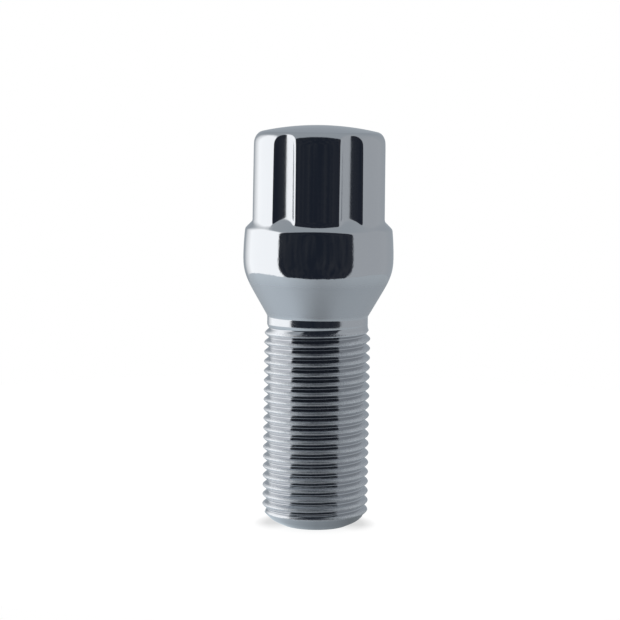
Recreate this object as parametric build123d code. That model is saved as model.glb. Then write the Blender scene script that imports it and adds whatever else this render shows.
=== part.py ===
from build123d import *

import os
from math import radians, sqrt, tan

# A wheel bolt, forged in one piece of steel and chrome plated.
# It stands on the flat of its threaded tip: the tip's face is on z = 0, the axis
# is Z and the fluted head is at the top. Sizes are in millimetres and degrees.

# Shank: M14 x 1.25, modelled over the crests of its fine thread
thread_diameter = 13.8
shank_length = 27.4
tip_face_diameter = 8.5
tip_nose_height = 0.65
tip_chamfer = 1.2
crest_sink_length = 1.1
neck_diameter = 13.06
neck_length = 1.4

# Conical seat, and the barrel-shaped collar above it
seat_angle = 60.0
seat_rounding = 7.0
collar_diameter = 19.44
collar_height = 5.9
collar_widest_height = 2.0
collar_foot_drop = 0.054
collar_top_drop = 0.21
collar_top_rounding = 1.0
shoulder_angle = 45.0

# Head: drafted wall, domed end, and the flutes that a spline socket grips
head_foot_diameter = 17.34
head_top_diameter = 17.16
head_height = 12.48
head_foot_rounding = 1.0
head_top_rounding = 1.6
dome_radius = 34.0
flute_count = 6
flute_depth = 0.725
flute_radius = 2.5
flute_edge_rounding = 0.3

# How far the head's foot lies under the shoulder, so that the two cross in a clean line
foot_sink = 0.03

crest_radius = thread_diameter / 2
neck_radius = neck_diameter / 2
collar_radius = collar_diameter / 2
collar_foot_radius = collar_radius - collar_foot_drop
collar_top_radius = collar_radius - collar_top_drop
head_foot_radius = head_foot_diameter / 2
head_top_radius = head_top_diameter / 2
flute_floor_radius = head_foot_radius - flute_depth

# Heights of the corners, from the tip up
neck_start = shank_length - neck_length
seat_height = (collar_foot_radius - neck_radius) / tan(radians(seat_angle / 2))
collar_foot = shank_length + seat_height
collar_top = collar_foot + collar_height
shoulder_slope = tan(radians(shoulder_angle))
head_foot = collar_top + (collar_top_radius - head_foot_radius) * shoulder_slope
head_top = head_foot + head_height


def shoulder_height(radius):
    """Height of the sloping shoulder at a radius, carried on inwards under the head."""
    return head_foot + (head_foot_radius - radius) * shoulder_slope


def dome_height(radius):
    """Height of the domed end at a radius."""
    return head_top - dome_radius + sqrt(dome_radius**2 - radius**2)


def turned(outline, roundings):
    """Solid of revolution from an outline of radius and height, with some corners rounded."""
    section = make_face(outline)
    for corner, size in roundings:
        nearest = section.vertices().sort_by_distance((*corner, 0))[0]
        section = fillet(nearest, size)
    return revolve(Plane.XZ * section, Axis.Z)


def shank_seat_and_collar():
    """Everything below the head. The shoulder's cone goes on inwards, past the flutes'
    floors, so that it closes their lower ends."""
    seat_corner = (collar_foot_radius, collar_foot)
    collar_widest = (collar_radius, collar_foot + collar_widest_height)
    shoulder_corner = (collar_top_radius, collar_top)
    shoulder_end_radius = flute_floor_radius - flute_depth
    shoulder_end = (shoulder_end_radius, shoulder_height(shoulder_end_radius))
    outline = Polyline(
        (0, shoulder_end[1]),
        (0, 0),
        (tip_face_diameter / 2, 0),
        (crest_radius - tip_chamfer, tip_nose_height),
        (crest_radius, tip_nose_height + tip_chamfer),
        (crest_radius, neck_start - crest_sink_length),
        (neck_radius, neck_start),
        (neck_radius, shank_length),
        seat_corner,
    )
    outline += ThreePointArc(seat_corner, collar_widest, shoulder_corner)
    outline += Polyline(shoulder_corner, shoulder_end, (0, shoulder_end[1]))
    return turned(
        outline,
        [(seat_corner, seat_rounding), (shoulder_corner, collar_top_rounding)],
    )


def head_blank():
    """The head before its flutes. Its foot flares out just under the shoulder's surface,
    and its lowest stretch is inside the collar."""
    foot_edge_radius = head_foot_radius + head_foot_rounding
    foot_edge = (foot_edge_radius, shoulder_height(foot_edge_radius) - foot_sink)
    foot_corner = (head_foot_radius, head_foot - foot_sink)
    dome_corner = (head_top_radius, dome_height(head_top_radius))
    dome_middle = (head_top_radius / 2, dome_height(head_top_radius / 2))
    base_height = foot_edge[1] - head_foot_rounding
    outline = Polyline(
        (0, head_top),
        (0, base_height),
        (foot_edge_radius, base_height),
        foot_edge,
        foot_corner,
        dome_corner,
    )
    outline += ThreePointArc(dome_corner, dome_middle, (0, head_top))
    blank = turned(
        outline,
        [(foot_corner, head_foot_rounding), (dome_corner, head_top_rounding)],
    )
    # Half a flute's step round, so that no flute runs across the start of the turning
    return Rot(0, 0, 180 / flute_count) * blank


def fluted_head():
    """The head with its flutes, which run up through the rounded top edge into arches."""
    head = head_blank()
    base_height = head.bounding_box().min.Z
    cutter = extrude(Plane.XY.offset(base_height - 1) * Circle(flute_radius), 2 * head_height)
    for place in PolarLocations(flute_floor_radius + flute_radius, flute_count):
        head -= place * cutter
    flutes = head.faces().filter_by(GeomType.CYLINDER).sort_by(SortBy.AREA)[-flute_count:]
    above_base = (base_height + 0.01, head_top)
    flute_edges = flutes.edges().filter_by_position(Axis.Z, *above_base)
    return fillet(flute_edges, flute_edge_rounding)


wheel_bolt = shank_seat_and_collar() + fluted_head()

os.makedirs("parts", exist_ok=True)
export_step(wheel_bolt, "parts/wheel_bolt.step")
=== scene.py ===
# %% [markdown]
# # A chrome wheel bolt, turned by rules
# The real bolt is forged in one piece from steel wire: a die makes the head, the
# collar and the cone, two rollers press the thread, and a plating bath covers it all.
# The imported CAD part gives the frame, which stays fixed. Here the bolt gets its thread
# and its plating, and it is set under plain studio light.

# %% Load the frame
from math import atan, cos, degrees, pi, radians, sin, sqrt, tan

import bpy
from mathutils import Matrix


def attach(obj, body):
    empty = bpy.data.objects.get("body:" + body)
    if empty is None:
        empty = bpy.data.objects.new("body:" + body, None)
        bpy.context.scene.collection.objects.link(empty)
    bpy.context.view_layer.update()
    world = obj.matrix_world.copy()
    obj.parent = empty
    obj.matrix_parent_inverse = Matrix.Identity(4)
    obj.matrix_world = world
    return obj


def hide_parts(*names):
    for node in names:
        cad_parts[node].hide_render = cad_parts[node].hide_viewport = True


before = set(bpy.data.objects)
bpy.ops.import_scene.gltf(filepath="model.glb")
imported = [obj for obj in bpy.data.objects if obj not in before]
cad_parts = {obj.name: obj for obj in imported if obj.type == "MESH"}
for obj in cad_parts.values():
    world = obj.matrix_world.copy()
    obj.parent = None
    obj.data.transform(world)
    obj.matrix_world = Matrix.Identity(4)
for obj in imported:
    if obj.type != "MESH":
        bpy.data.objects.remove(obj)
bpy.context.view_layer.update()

# %% [markdown]
# ## The sizes that drive the shape
# These are the part's own sizes, in millimetres and degrees. Each is written once, and
# the corners between them are worked out, so one size can change without a second one
# going wrong.

# %% Sizes in millimetres
millimetre = 0.001

crest_radius = 6.9
pitch = 1.25
tip_radius = 4.25
tip_nose_height = 0.65
tip_chamfer = 1.2
neck_radius = 6.53
neck_start = 26.0
crest_sink_length = 1.1
shank_length = 27.4

seat_angle = 60
collar_radius = 9.72
collar_height = 5.9
collar_widest_height = 2.0
collar_foot_drop = 0.054
collar_top_drop = 0.21

head_foot_radius = 8.67
head_top_radius = 8.58
head_height = 12.48
head_top_rounding = 1.6
dome_radius = 34.0
flute_count = 6
flute_depth = 0.725
flute_radius = 2.5

nose_radius = crest_radius - tip_chamfer
seat_slope = tan(radians(seat_angle / 2))
collar_foot_radius = collar_radius - collar_foot_drop
collar_foot = shank_length + (collar_foot_radius - neck_radius) / seat_slope
collar_widest = collar_foot + collar_widest_height
collar_top = collar_foot + collar_height
collar_top_radius = collar_radius - collar_top_drop
head_foot = collar_top + collar_top_radius - head_foot_radius
head_top = head_foot + head_height
print("Collar's foot and top, mm:", round(collar_foot, 2), round(collar_top, 2))
print("Head's foot and top, mm:", round(head_foot, 2), round(head_top, 2))

# %% [markdown]
# ## Writing nodes as sums
# A node tree is a long sum drawn as boxes. One small class wraps a socket, so that the
# sum is written in Python, and adding two wires adds a Math node to the tree. Its
# method node() adds any other node: its type, its settings, then its sockets.

# %% A wire between nodes
class Wire:
    """A node's output. Arithmetic on it adds Math nodes to its tree."""

    def __init__(self, tree, socket=None):
        self.tree = tree
        self.socket = socket

    def node(self, kind, settings, sockets, output=0):
        """Adds a node and returns one of its outputs."""
        made = self.tree.nodes.new(kind)
        for name, setting in settings.items():
            setattr(made, name, setting)
        for key, given in sockets.items():
            if isinstance(given, Wire):
                self.tree.links.new(given.socket, made.inputs[key])
            else:
                made.inputs[key].default_value = given
        return Wire(self.tree, made.outputs[output] if made.outputs else None)

    def math(self, operation, *others):
        sockets = {0: self, **dict(enumerate(others, 1))}
        return self.node("ShaderNodeMath", {"operation": operation}, sockets)

    def math_from(self, operation, other):
        """The same with the other value first."""
        return self.node("ShaderNodeMath", {"operation": operation}, {0: other, 1: self})

    def __add__(self, other):
        return self.math("ADD", other)

    def __radd__(self, other):
        return self.math("ADD", other)

    def __sub__(self, other):
        return self.math("SUBTRACT", other)

    def __rsub__(self, other):
        return self.math_from("SUBTRACT", other)

    def __mul__(self, other):
        return self.math("MULTIPLY", other)

    def __rmul__(self, other):
        return self.math("MULTIPLY", other)

    def __truediv__(self, other):
        return self.math("DIVIDE", other)

    def __rtruediv__(self, other):
        return self.math_from("DIVIDE", other)

    def lower(self, other):
        return self.math("MINIMUM", other)

    def higher(self, other):
        return self.math("MAXIMUM", other)

    def lower_rounded(self, other, width):
        return self.math("SMOOTH_MIN", other, width)

    def higher_rounded(self, other, width):
        return self.math("SMOOTH_MAX", other, width)

    def between(self, low, high):
        """0 up to low, 1 from high, and straight between them."""
        limits = {0: self, 1: low, 2: high, 3: 0.0, 4: 1.0}
        return self.node("ShaderNodeMapRange", {"clamp": True}, limits)

    def clamped(self, low, high):
        return self.higher(low).lower(high)

    def blended(self, other, share):
        """This wire where share is 0 and the other where it is 1."""
        return self + (other - self) * share

    def axis(self, name):
        """One number of this place: X, Y or Z."""
        return self.node("ShaderNodeSeparateXYZ", {}, {0: self}, name)

    def mixed(self, share, one, other):
        """The colour one where share is 0 and the other where it is 1."""
        colours = {0: share, 6: one, 7: other}
        return self.node("ShaderNodeMix", {"data_type": "RGBA"}, colours, 2)


# %% [markdown]
# ## The blank that the rules cut
# The bolt starts as a blank, as in the forge: rows of points from the tip's centre up to
# the dome's, each a radius and a height. The rows of the shank climb with the helix, so
# that the thread's crests and roots run along mesh edges and stay crisp. Above them the
# rows lie close together where the outline bends, and far apart on straight walls.

# %% Rows of the blank
groove_start = 0.13
thread_top = 27.0
# The bar is wider than the shank, the cone and the collar, which are cut out of it
bar_radius = collar_radius + 1
# Rows across the tip's flat face, as shares of its radius
tip_rows = (0, 0.5, 0.97, 1)
# Rows across half a groove, from its root to the crest, as shares of the pitch
groove_rows = (0, 0.07, 0.13, 0.38, 0.43, 0.47, 0.5)
# Where each stretch above the thread starts, and how many rows it gets
stretches = {
    "neck": (27.1, 9),
    "cone": (27.9, 5),
    "collar's foot": (31.2, 16),
    "collar's side": (34.4, 6),
    "collar's top": (37.4, 1),
    "shoulder": (37.5, 14),
    "head's foot": (39.1, 22),
    "flutes": (41.1, 9),
    "head's top edge": (49.9, 0),
}
edge_steps = 20
dome_steps = 9


def spaced(start, end, count):
    """Evenly spaced heights from start up to, but not including, end."""
    return [start + (end - start) * step / count for step in range(count)]


def blank_rows():
    """Points of (radius, height, climb) from the tip up: climb is 1 in the thread."""
    rows = [(share * tip_radius, 0, 0) for share in tip_rows]
    across = [-share for share in groove_rows[:0:-1]] + list(groove_rows[:-1])
    # Spare turns at both ends, because the rows climb by one pitch
    turns = int(thread_top / pitch) + 3
    for turn in range(-1, turns):
        for share in across:
            rows.append((bar_radius, groove_start + (turn + share) * pitch, 1))
    starts = list(stretches.values())
    for (start, count), (end, _) in zip(starts, starts[1:]):
        for height in spaced(start, end, count):
            in_bar = height < collar_widest
            rows.append((bar_radius if in_bar else wall_radius(height), height, 0))
    return rows + domed_end()


def wall_radius(height):
    """The head's wall, which narrows a little towards its top."""
    draft = (head_foot_radius - head_top_radius) / head_height
    return head_foot_radius - draft * (height - head_foot)


def domed_end():
    """The rounding from the wall to the dome, and the dome up to its centre."""
    centre_radius = head_top_radius - head_top_rounding
    reach = dome_radius - head_top_rounding
    dome_centre = head_top - dome_radius
    centre_height = dome_centre + sqrt(reach**2 - centre_radius**2)
    lean = centre_radius / reach
    rows = []
    for step in range(edge_steps):
        turn = (pi / 2 - lean) * step / edge_steps
        radius = centre_radius + head_top_rounding * cos(turn)
        rows.append((radius, centre_height + head_top_rounding * sin(turn), 0))
    for step in range(dome_steps + 1):
        turn = lean * (1 - step / dome_steps)
        rows.append((dome_radius * sin(turn), dome_centre + dome_radius * cos(turn), 0))
    return rows


rows = blank_rows()
blank = bpy.data.meshes.new("blank_rows")
blank.from_pydata([(radius, 0, height) for radius, height, climb in rows], [], [])
climbs = blank.attributes.new("climb", "FLOAT", "POINT")
climbs.data.foreach_set("value", [climb for radius, height, climb in rows])
print("Rows from the tip to the dome:", len(rows))

# %% [markdown]
# ## Turning the blank
# Every section of the bolt follows a rule of height and angle, so Geometry Nodes turn
# it. A grid is bent round the axis, and each point's radius is the smallest or largest
# of simple forms: cylinder, cone, barrel, groove and flute. Where two forms meet, a
# smooth minimum or maximum leaves the rounding that a forging die leaves. A rounding
# here is the width of that blend, in millimetres.

# %% Inputs of the turning
# The rounding of the crests takes this much off their radius
crest_allowance = 0.02
turning_sizes = {
    "Flutes": flute_count,
    "Flute depth": flute_depth,
    "Flute radius": flute_radius,
    "Flute edge rounding": 0.28,
    "Foot rounding": 0.54,
    "Pitch": pitch,
    "Crest radius": crest_radius + crest_allowance,
    "Root radius": 5.74,
    "Crest rounding": 0.5,
    "Root rounding": 2.2,
    "Groove start": groove_start,
    "Run-out start": 25.755,
    "Run-out length": 0.625,
}
# Columns on half a flute's floor, over its edge and on half the wall, and the degrees that
# each of the three takes up
floor_columns, floor_span = 4, 6
edge_columns, edge_span = 9, 7
wall_columns, wall_span = 7, 180 / flute_count - floor_span - edge_span
columns_per_flute = 2 * (floor_columns + edge_columns + wall_columns)
columns = flute_count * columns_per_flute


def new_turning():
    """The empty tree, with a named input for each size."""
    tree = bpy.data.node_groups.new("bolt_turning", "GeometryNodeTree")
    tree.is_modifier = True
    inputs = {"Blank": "Geometry", **dict.fromkeys(turning_sizes, "Float"), "Plating": "Material"}
    for name, kind in inputs.items():
        tree.interface.new_socket(name=name, in_out="INPUT", socket_type="NodeSocket" + kind)
    tree.interface.new_socket(name="Bolt", in_out="OUTPUT", socket_type="NodeSocketGeometry")
    return tree


tree = new_turning()
start = tree.nodes.new("NodeGroupInput")
given = {socket.name: Wire(tree, socket) for socket in start.outputs if socket.name}
nodes = Wire(tree)
print("Inputs of the turning:", len(given))
print("Columns for each flute and round the bolt:", columns_per_flute, columns)

# %% Where each point of the grid goes round and up
row_count = nodes.node(
    "GeometryNodeAttributeDomainSize",
    {"component": "MESH"},
    {0: given["Blank"]},
)
index = nodes.node("GeometryNodeInputIndex", {}, {})
column = (index / row_count).math("FLOOR")
row = index - column * row_count


def of_row(value, data_type):
    """A value of the blank at this point's row."""
    return nodes.node(
        "GeometryNodeSampleIndex",
        {"data_type": data_type},
        {"Geometry": given["Blank"], "Value": value, "Index": row},
    )


place = of_row(nodes.node("GeometryNodeInputPosition", {}, {}), "FLOAT_VECTOR")
blank_radius = place.axis("X")
row_height = place.axis("Z")
climb_of_point = nodes.node(
    "GeometryNodeInputNamedAttribute",
    {"data_type": "FLOAT"},
    {"Name": "climb"},
)
climb = of_row(climb_of_point, "FLOAT")

sector = (column / columns_per_flute).math("FLOOR")
step = column - sector * columns_per_flute
mirrored = step.lower(columns_per_flute - step)
past_floor = mirrored - floor_columns
from_flute = mirrored.lower(floor_columns) * radians(floor_span / floor_columns)
from_flute += past_floor.clamped(0, edge_columns) * radians(edge_span / edge_columns)
from_flute += (past_floor - edge_columns).higher(0) * radians(wall_span / wall_columns)
second_half = step.math("GREATER_THAN", columns_per_flute / 2)
flute_angle = 2 * pi / given["Flutes"]
angle = sector * flute_angle + from_flute.blended(flute_angle - from_flute, second_half)

rise = given["Pitch"] * angle / (2 * pi)
climbed = (row_height + rise).clamped(0, thread_top)
height = row_height.blended(climbed, climb)
print("Nodes for the places:", len(tree.nodes))

# %% The thread, the chamfer and the neck
# From the root to where the straight flank reaches the crest's radius, in pitches
flank_share = 0.432
flank_slope = sqrt(3)
chamfer_rounding = 0.5
nose_rounding = 0.6

across = height - rise - given["Groove start"]
nearest = (across / given["Pitch"]).math("ROUND")
from_groove = across - nearest * given["Pitch"]
flank_top = flank_share * given["Pitch"]
from_root = from_groove.math("ABSOLUTE")
flank = given["Crest radius"] - (flank_top - from_root) * flank_slope
groove = flank.higher_rounded(given["Root radius"], given["Root rounding"])

sunk = height.between(neck_start - crest_sink_length, neck_start)
crest = given["Crest radius"].blended(neck_radius, sunk)
groove_height = height - from_groove
fade = 1 - (groove_height - given["Run-out start"]) / given["Run-out length"]
depth = (crest - groove).higher_rounded(0.0, given["Crest rounding"])
threaded = crest - depth * fade.clamped(0, 1)
chamfer = nose_radius + height - tip_nose_height
nose = tip_radius + height * ((nose_radius - tip_radius) / tip_nose_height)
shank = threaded.lower_rounded(chamfer, chamfer_rounding).lower_rounded(nose, nose_rounding)
print("Angle between the thread's flanks, degrees:", round(2 * degrees(atan(1 / flank_slope))))

# %% The seat, the collar and the shoulder
collar_foot_rounding = 1.45
shoulder_rounding = 0.25
neck_rounding = 0.12

seat = neck_radius + (height - shank_length) * seat_slope
above_widest = height - collar_widest
foot_side = (above_widest * -1).higher(0) / collar_widest_height
top_side = above_widest.higher(0) / (collar_height - collar_widest_height)
barrel = collar_radius - foot_side * foot_side * collar_foot_drop
barrel -= top_side * top_side * collar_top_drop
shoulder = head_foot_radius + head_foot - height
collar = seat.lower_rounded(barrel, collar_foot_rounding)
collar = collar.lower_rounded(shoulder, shoulder_rounding)
lower_part = shank.higher_rounded(collar, neck_rounding).lower(blank_radius)
print("Collar's radius at its foot, middle and top, mm:")
print(round(collar_foot_radius, 3), collar_radius, round(collar_top_radius, 3))

# %% The flutes in the head
floor_radius = head_foot_radius - given["Flute depth"]
flute_axis = floor_radius + given["Flute radius"]
sideways = flute_axis * from_flute.math("SINE")
chord = given["Flute radius"] * given["Flute radius"] - sideways * sideways
along = flute_axis * from_flute.math("COSINE")
flute = along - chord.higher(0).math("SQRT")
fluted = blank_radius.lower_rounded(flute, given["Flute edge rounding"])
upper_part = fluted.higher_rounded(collar, given["Foot rounding"])
print("Across the flutes' floors, mm:", round(2 * (head_foot_radius - flute_depth), 2))

# %% Bend the grid, close it and give it its plating
weld_distance = 0.001 * millimetre

is_upper = height.math("GREATER_THAN", collar_widest)
radius = lower_part.blended(upper_part, is_upper)
x = radius * angle.math("COSINE")
y = radius * angle.math("SINE")
bent = nodes.node("ShaderNodeCombineXYZ", {}, {"X": x, "Y": y, "Z": height})
bent = nodes.node("ShaderNodeVectorMath", {"operation": "SCALE"}, {0: bent, "Scale": millimetre})
grid = nodes.node("GeometryNodeMeshGrid", {}, {"Vertices X": columns + 1, "Vertices Y": row_count})
skin = nodes.node("GeometryNodeSetPosition", {}, {"Geometry": grid, "Position": bent})
skin = nodes.node("GeometryNodeMergeByDistance", {}, {"Geometry": skin, "Distance": weld_distance})
skin = nodes.node("GeometryNodeSetShadeSmooth", {}, {"Geometry": skin})
skin = nodes.node("GeometryNodeRealizeInstances", {}, {"Geometry": skin})
skin = nodes.node("GeometryNodeSetMaterial", {}, {"Geometry": skin, "Material": given["Plating"]})
end = tree.nodes.new("NodeGroupOutput")
tree.links.new(skin.socket, end.inputs[0])
print("Nodes in the turning:", len(tree.nodes))

# %% [markdown]
# ## The plating
# Chrome is a thin, hard, faintly blue mirror that shows whatever lies under it. On the
# die-forged head and collar the steel was smooth, and the mirror is nearly perfect. The
# cone is satin, the neck lies between them, and the thread's crests are grainy, because
# the steel tore a little as it flowed up between the rollers. One material holds all
# this, with masks worked out from the height and the distance from the axis.

# %% Places on the plating
chrome = bpy.data.materials.new("chrome_plate")
chrome.use_nodes = True
chrome.node_tree.nodes.clear()
paint = Wire(chrome.node_tree)

object_place = paint.node("ShaderNodeTexCoord", {}, {}, "Object")
spot = paint.node(
    "ShaderNodeVectorMath",
    {"operation": "SCALE"},
    {0: object_place, "Scale": 1 / millimetre},
)
spot_x = spot.axis("X")
spot_y = spot.axis("Y")
spot_height = spot.axis("Z")
from_axis = (spot_x * spot_x + spot_y * spot_y).math("SQRT")

# Where each finish comes in and where it ends, as heights and distances from the axis
thread_end = (neck_start - 0.2, neck_start + 0.3)
crest_start = (6.54, 6.74)
neck_range = (25.6, 26.2), (27.2, 27.6)
seat_range = (27.3, 27.8), (31.7, 33.0)
flute_range = (39.6, 40.4), (50.2, 51.2)
flute_depth_range = (8.2, 8.5)


def at_heights(starts, ends):
    """1 between two heights and 0 outside them, each with its own soft edge."""
    return spot_height.between(*starts) * (1 - spot_height.between(*ends))


in_thread = 1 - spot_height.between(*thread_end)
on_crest = from_axis.between(*crest_start) * in_thread
on_neck = at_heights(*neck_range)
on_seat = at_heights(*seat_range)
in_flute = (1 - from_axis.between(*flute_depth_range)) * at_heights(*flute_range)
print("Nodes for the places:", len(chrome.node_tree.nodes))


# %% Finishes of the plating
def mottle(scale, detail, roughness=0.5):
    """Noise from 0 to 1 with features about 1 / scale millimetres wide."""
    return paint.node(
        "ShaderNodeTexNoise",
        {},
        {"Vector": spot, "Scale": scale, "Detail": detail, "Roughness": roughness},
    )


grain = mottle(5.5, 3.0, 0.6)
waviness = mottle(1.3, 2.0, 0.6)
fine = mottle(14.0, 2.0)
tone = mottle(0.35, 3.0)

# Roughness of each finish
polished = 0.045 + 0.03 * tone + 0.14 * in_flute + 0.10 * on_neck
satin = 0.24 + 0.12 * fine
rolled = 0.055 + 0.03 * grain
torn = 0.25 + 0.22 * grain
roughness = polished.blended(satin, on_seat).blended(rolled, in_thread).blended(torn, on_crest)

# Heights of the grain, in millimetres
grain_height = grain * (0.0009 + 0.034 * on_crest)
wave_height = waviness * 0.008
fine_height = fine * (0.0002 + 0.0028 * on_seat)
relief = grain_height + wave_height + fine_height
bump = paint.node(
    "ShaderNodeBump",
    {},
    {"Strength": 1.0, "Distance": millimetre, "Height": relief},
)
print("Nodes with the finishes:", len(chrome.node_tree.nodes))

# %% Chrome plate
clean_colour = (0.58, 0.59, 0.61, 1)
painted_shade_and_tone_colour = (0.47, 0.48, 0.505, 1)
painted_glint_colour = (0.78, 0.79, 0.81, 1)
# Painted shade darkens the colour in the thread's grooves and on the cone; random tone darkens it
# a little anywhere
in_groove = (1 - on_crest) * in_thread
painted_shade_and_tone = (in_groove * 0.35 + on_seat * 0.5 + tone * 0.12).clamped(0, 1)
# Painted glints: a brighter colour on the crests, strongest where the grain is highest
bright_grain = grain.between(0.45, 0.6)
glinting = on_crest * (0.1 + 0.7 * bright_grain)
colour = paint.mixed(painted_shade_and_tone, clean_colour, painted_shade_and_tone_colour)
colour = paint.mixed(glinting, colour, painted_glint_colour)
shader = paint.node(
    "ShaderNodeBsdfPrincipled",
    {},
    {"Base Color": colour, "Metallic": 1.0, "Roughness": roughness, "Normal": bump},
)
paint.node("ShaderNodeOutputMaterial", {}, {"Surface": shader})
print("Nodes in the plating:", len(chrome.node_tree.nodes))

# %% [markdown]
# ## Making the bolt
# The rows carry the turning as a modifier. Its inputs are set by their identifiers,
# before it first runs. Its result is then kept as a plain mesh, and the modifier goes.

# %% Turn the bolt
stock = bpy.data.objects.new("blank", blank)
bpy.context.scene.collection.objects.link(stock)
turning = stock.modifiers.new("turning", "NODES")
turning.node_group = tree
sizes_and_plating = {**turning_sizes, "Plating": chrome}
for item in tree.interface.items_tree:
    if item.in_out == "INPUT" and item.name in sizes_and_plating:
        value = sizes_and_plating[item.name]
        turning[item.identifier] = value if item.name == "Plating" else float(value)

graph = bpy.context.evaluated_depsgraph_get()
bolt_mesh = bpy.data.meshes.new_from_object(stock.evaluated_get(graph))
stock.modifiers.remove(turning)
bpy.data.objects.remove(stock)
bolt = bpy.data.objects.new("plated_bolt", bolt_mesh)
bpy.context.scene.collection.objects.link(bolt)

bolt_mesh.calc_loop_triangles()
triangle_volumes = [
    bolt_mesh.vertices[a].co.dot(bolt_mesh.vertices[b].co.cross(bolt_mesh.vertices[c].co)) / 6
    for a, b, c in (triangle.vertices for triangle in bolt_mesh.loop_triangles)
]
print("Triangles:", len(bolt_mesh.loop_triangles))
print("Volume, mm3:", round(sum(triangle_volumes) / millimetre**3, 1))

# %% The bolt takes its node's place
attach(bolt, "root")
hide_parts("wheel_bolt")
print("Pieces:", [bolt.name])

# %% [markdown]
# ## The studio
# Chrome has no colour of its own: it shows the room. The photograph's room is a grey
# tent with one soft white light at the left and a dark opening at the camera's side, and
# the bolt stands on a small pale table. The tent is seen by the metal only, so any view
# has a white background. Sizes in the studio are in metres, and a bearing is in degrees
# round the bolt: 0 is the camera's side, and 90 is the right.

# %% Table
table_half_width, table_half_depth = 0.100, 0.098
table_centre = 0.045
rim_points = 128
rim = []
for step in range(rim_points):
    turn = 2 * pi * step / rim_points
    rim.append((table_half_width * cos(turn), table_centre + table_half_depth * sin(turn), 0))
table_mesh = bpy.data.meshes.new("table")
table_mesh.from_pydata(rim, [], [list(range(rim_points))])
table = bpy.data.objects.new("table", table_mesh)
bpy.context.scene.collection.objects.link(table)

pale = bpy.data.materials.new("pale_table")
pale.use_nodes = True
pale.node_tree.nodes.clear()
surface = Wire(pale.node_tree)


def bearing_of(x, y):
    """Degrees from the camera's side, rising to the right."""
    return x.math("ARCTAN2", y * -1) * degrees(1)


table_place = surface.node("ShaderNodeTexCoord", {}, {}, "Object")
table_x = table_place.axis("X")
table_y = table_place.axis("Y")
table_bearing = bearing_of(table_x, table_y)
to_either_side = table_bearing.math("ABSOLUTE")
from_bolt = (table_x * table_x + table_y * table_y).math("SQRT") / millimetre

# 1 for the camera's own rays, and 1 for those that metal and glass send on
seen = surface.node("ShaderNodeLightPath", {}, {}, "Is Camera Ray")
glossy = surface.node("ShaderNodeLightPath", {}, {}, "Is Glossy Ray")
transmission = surface.node("ShaderNodeLightPath", {}, {}, "Is Transmission Ray")
mirrored_on = glossy.higher(transmission)
print("Nodes for the table's places:", len(pale.node_tree.nodes))

# %% [markdown]
# ## The table's light
# The camera sees the table white, with the bolt's soft shadow painted at its two sides. The
# metal sees the tent's grey light painted on the table as a glow, strongest beside the soft
# light. The painted glow is weak in front, where the dark opening gives none, and painted
# shade lies just in front of the bolt and at its right, where the bolt shades the table.

# %% Glow of the table
table_colour = (0.15, 0.15, 0.15, 1)
white = (1, 1, 1, 1)
tent_glow_colour = (0.88, 1.0, 1.09, 1)
white_glow = 0.90
left_glow, front_glow, right_glow = 0.67, 0.33, 0.42
shadow_share, shaded_side_share, shaded_front_share = 0.28, 0.6, 0.9
dark_bearing = -3

# Bearings at which the painted glows, the painted shadow and the painted shades come in or end
left_front, left_back = (-60, 5), (-170, -110)
right_front, right_back = (5, 60), (110, 170)
shadow_start, side_shade_start, front_shade_sides = (45, 85), (10, 60), (30, 60)

# The same as distances from the bolt's axis, in millimetres
shadow_end, side_shade_end = (6.3, 8.1), (7, 14)
front_shade_start, front_shade_end = (8.2, 10.5), (15, 19)
# How much of the front's painted shade is left right under the tip
shade_under_tip = 0.1

# A painted shadow on the table at the bolt's two sides, which darkens the camera's white glow
painted_shadow_beside_bolt = (1 - from_bolt.between(*shadow_end)) * to_either_side.between(*shadow_start)
camera_glow = white_glow * (1 - shadow_share * painted_shadow_beside_bolt)

# The tent's light painted on the table as a glow that only the metal sees, set by bearing
to_left = (1 - table_bearing.between(*left_front)) * table_bearing.between(*left_back)
to_right = table_bearing.between(*right_front) * (1 - table_bearing.between(*right_back))
tent_glow = front_glow + to_left * (left_glow - front_glow) + to_right * (right_glow - front_glow)

# Painted shade on that glow: at the bolt's right, and just in front of it
shaded_side = table_bearing.between(*side_shade_start) * (1 - from_bolt.between(*side_shade_end))
shaded_front = shade_under_tip + (1 - shade_under_tip) * from_bolt.between(*front_shade_start)
shaded_front *= 1 - from_bolt.between(*front_shade_end)
off_front = (table_bearing - dark_bearing).math("ABSOLUTE")
shaded_front *= 1 - off_front.between(*front_shade_sides)
tent_glow *= (1 - shaded_side_share * shaded_side) * (1 - shaded_front_share * shaded_front)

glow_level = (tent_glow * mirrored_on).blended(camera_glow, seen)
glow_colour = surface.mixed(seen, tent_glow_colour, white)
matt = surface.node("ShaderNodeBsdfDiffuse", {}, {"Color": table_colour})
glow = surface.node("ShaderNodeEmission", {}, {"Color": glow_colour, "Strength": glow_level})
both = surface.node("ShaderNodeAddShader", {}, {0: matt, 1: glow})
surface.node("ShaderNodeOutputMaterial", {}, {"Surface": both})
table_mesh.materials.append(pale)
print("Nodes in the table's material:", len(pale.node_tree.nodes))

# %% [markdown]
# ## The tent
# Panels and lamps would leave edges and gaps that the photograph's reflections don't
# show. So the tent is one wide sphere, painted by bearing and elevation, and each
# reflection finds its grey, its light or its dark where the metal points. The dark
# opening is a room, not a black card, so faint upright streaks run through it.

# %% Tent
tent_radius = 1.5
tent_segments, tent_rings = 64, 32
grey_colour = (0.503, 0.532, 0.561, 1)
ceiling_colour = (0.43, 0.47, 0.505, 1)
back_colour = (0.375, 0.415, 0.455, 1)
light_colour = (1.50, 1.52, 1.53, 1)
dark_colour = (0.017, 0.022, 0.034, 1)
side_dark_colour = (0.043, 0.047, 0.056, 1)

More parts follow.
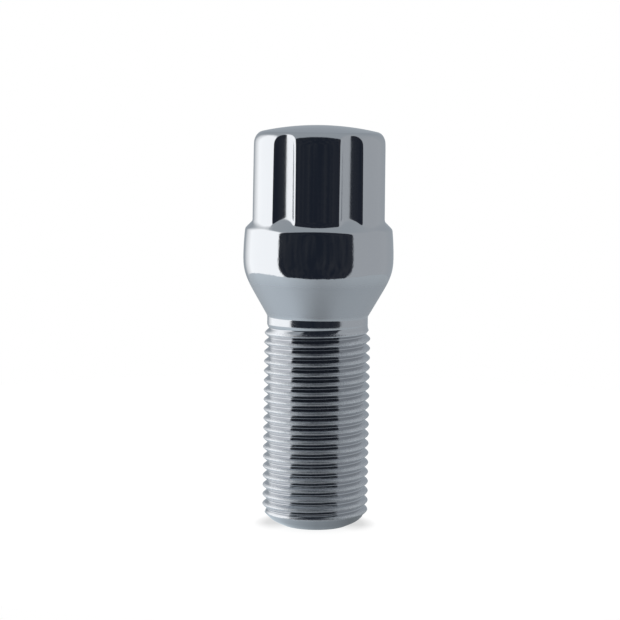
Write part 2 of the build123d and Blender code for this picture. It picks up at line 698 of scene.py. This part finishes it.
# The dark opening and the light are rounded shapes: half their width and their height in
# degrees, how square they are (2 is an ellipse), and where their soft edge lies
dark_half_width, dark_above, dark_below = 59, 76, 42
dark_squareness, dark_edge = 3, (0.93, 1.07)
light_bearing, light_half_width, light_height = -104, 48, 47
light_squareness, light_edge = 2.5, (0.75, 1.2)
light_start = (-155, -126)

bpy.ops.mesh.primitive_uv_sphere_add(
    segments=tent_segments, ring_count=tent_rings, radius=tent_radius
)
tent = bpy.context.object
tent.name = "tent"
cloth = bpy.data.materials.new("tent_cloth")
cloth.use_nodes = True
cloth.node_tree.nodes.clear()
weave = Wire(cloth.node_tree)

aim = weave.node("ShaderNodeTexCoord", {}, {}, "Object")
aim_x = aim.axis("X")
aim_y = aim.axis("Y")
aim_z = aim.axis("Z")
bearing = bearing_of(aim_x, aim_y)
elevation = (aim_z / tent_radius).clamped(-1, 1).math("ARCSINE") * degrees(1)


def from_middle(across, up, squareness):
    """0 in the middle of a rounded shape, 1 at its edge and more outside it."""
    return across.math("POWER", squareness) + up.math("POWER", squareness)


off_dark = ((bearing - dark_bearing) / dark_half_width).math("ABSOLUTE")
up_dark = elevation.higher(0) / dark_above + (elevation * -1).higher(0) / dark_below
in_dark = 1 - from_middle(off_dark, up_dark, dark_squareness).between(*dark_edge)

off_light = ((bearing - light_bearing) / light_half_width).math("ABSOLUTE")
up_light = elevation.higher(0) / light_height
in_light = 1 - from_middle(off_light, up_light, light_squareness).between(*light_edge)
in_light *= bearing.between(*light_start)
print("Nodes for the tent's places:", len(cloth.node_tree.nodes))

# %% Colours of the tent
back_start = (125, 165)
ceiling_start = (35, 65)
streak_width, streak_height = 7, 18

streak_place = weave.node(
    "ShaderNodeCombineXYZ",
    {},
    {"X": bearing / streak_width, "Y": elevation / streak_height, "Z": 0.0},
)
streaks = weave.node(
    "ShaderNodeTexNoise",
    {},
    {"Vector": streak_place, "Scale": 1.0, "Detail": 3.0},
)
faded = (off_dark * 0.5 + streaks * 2.4 - 1.15).clamped(0, 1)
dark = weave.mixed(faded, dark_colour, side_dark_colour)

to_back = bearing.math("ABSOLUTE").between(*back_start)
colour = weave.mixed(to_back, grey_colour, back_colour)
colour = weave.mixed(elevation.between(*ceiling_start), colour, ceiling_colour)
colour = weave.mixed(in_light, colour, light_colour)
colour = weave.mixed(in_dark, colour, dark)
shine = weave.node("ShaderNodeEmission", {}, {"Color": colour, "Strength": 1.0})
weave.node("ShaderNodeOutputMaterial", {}, {"Surface": shine})
tent.data.materials.append(cloth)
tent.visible_camera = False
tent.visible_diffuse = False
tent.visible_shadow = False
print("Nodes in the tent's cloth:", len(cloth.node_tree.nodes))

# %% World
world = bpy.data.worlds.new("studio")
bpy.context.scene.world = world
world.use_nodes = True
world.node_tree.nodes.clear()
sky = Wire(world.node_tree)
ambient = sky.node("ShaderNodeBackground", {}, {"Color": white, "Strength": 1.0})
sky.node("ShaderNodeOutputWorld", {}, {"Surface": ambient})
print("World:", world.name)

# %% [markdown]
# ## The camera
# The photograph was taken with a long lens, a little above the bolt. Its distance,
# height and tilt were worked out from the ellipses of the head, collar and tip.

# %% Camera
camera_distance = 0.2717
camera_height = 0.0566
camera_bearing = radians(1.6)
camera_pitch = radians(5.985)
camera_yaw = radians(0.21)
camera_roll = radians(0.8)
lens = 122.2
film_width = 36
nearest_seen = 0.01

camera = bpy.data.objects.new("camera", bpy.data.cameras.new("camera"))
bpy.context.scene.collection.objects.link(camera)
camera.data.lens = lens
camera.data.sensor_width = film_width
camera.data.clip_start = nearest_seen
turned = Matrix.Rotation(camera_bearing + camera_yaw, 4, "Z")
tilted = Matrix.Rotation(pi / 2 - camera_pitch, 4, "X")
rolled = Matrix.Rotation(camera_roll, 4, "Z")
camera_x = camera_distance * sin(camera_bearing)
camera_y = -camera_distance * cos(camera_bearing)
standing = Matrix.Translation((camera_x, camera_y, camera_height))
camera.matrix_world = standing @ turned @ tilted @ rolled
bpy.context.scene.camera = camera
bpy.context.scene.view_settings.view_transform = "Standard"
print("Camera's place, mm:", [round(1000 * side, 1) for side in camera.matrix_world.translation])
